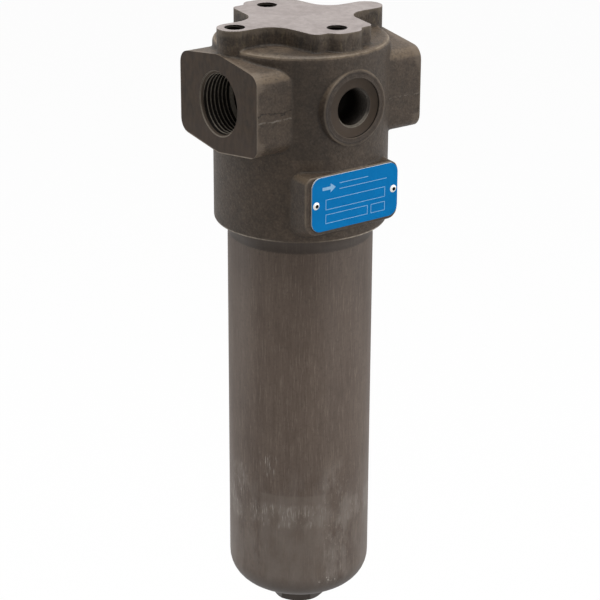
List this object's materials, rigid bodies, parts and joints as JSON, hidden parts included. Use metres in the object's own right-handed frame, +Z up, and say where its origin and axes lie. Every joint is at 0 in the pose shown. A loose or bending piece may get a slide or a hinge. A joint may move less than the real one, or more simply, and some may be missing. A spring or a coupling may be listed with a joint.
{
  "type": "hydraulic pressure filter",
  "caption": "Inline hydraulic pressure filter: cast head with threaded ports, mounting flange and indicator port, screwed steel bowl, pleated element and bypass valve inside.",
  "frame": {"origin": "centre of the machined mounting face on top of the head", "axes": "+Z up out of the mounting face, -X out of the inlet port, -Y out of the indicator port and the nameplate"},
  "size_m": [0.102, 0.0921, 0.3275],
  "materials": {
    "cast_head": "phosphated casting, dark grey-brown, with machined faces of the same tone",
    "bowl_steel": "phosphated steel, fine streaks along the axis",
    "seal_rubber": "matt black",
    "backup_plastic": "ivory",
    "plate_blue": "blue printed plate, satin",
    "rivet_steel": "bright",
    "sheet_steel": "zinc plated sheet",
    "filter_media": "pleated glass fibre",
    "sleeve_plastic": "white",
    "valve_steel": "turned",
    "valve_brass": "turned",
    "spring_steel": "drawn wire"
  },
  "bodies": {
    "head": {"filter_head": "cast_head", "nameplate": "plate_blue", "plate_rivets": "rivet_steel", "element_top_cap": "sheet_steel", "element_bottom_cap": "sheet_steel", "element_media": "filter_media", "element_core": "sheet_steel", "element_sleeve": "sleeve_plastic", "element_o_ring": "seal_rubber", "bypass_body": "valve_steel", "bypass_o_ring": "seal_rubber", "bypass_spring": "spring_steel", "bypass_spring_plate": "valve_steel", "bypass_retaining_ring": "spring_steel"},
    "bowl_rings": {"bowl_o_ring": "seal_rubber", "bowl_backup_ring": "backup_plastic"},
    "bowl": {"bowl": "bowl_steel"},
    "poppet": {"bypass_poppet": "valve_brass"}
  },
  "joints": [
    {"name": "bowl_sink", "type": "slide", "parent": "head", "child": "bowl_rings", "axis": [0, 0, -1], "range_m": [0, 0.013]},
    {"name": "bowl_turn", "type": "hinge", "parent": "bowl_rings", "child": "bowl", "pos_m": [0, 0, -0.2], "axis": [0, 0, -1], "range_deg": [0, 2340]},
    {"name": "poppet_lift", "type": "slide", "parent": "head", "child": "poppet", "axis": [0, 0, 1], "range_m": [0, 0.003], "stiffness_N_per_m": 5000, "springref_m": -0.0054, "deforming": ["bypass_spring"]}
  ],
  "couplings": [
    {"joint": "bowl_sink", "follows": "bowl_turn", "m_per_rad": 0.00031831}
  ]
}
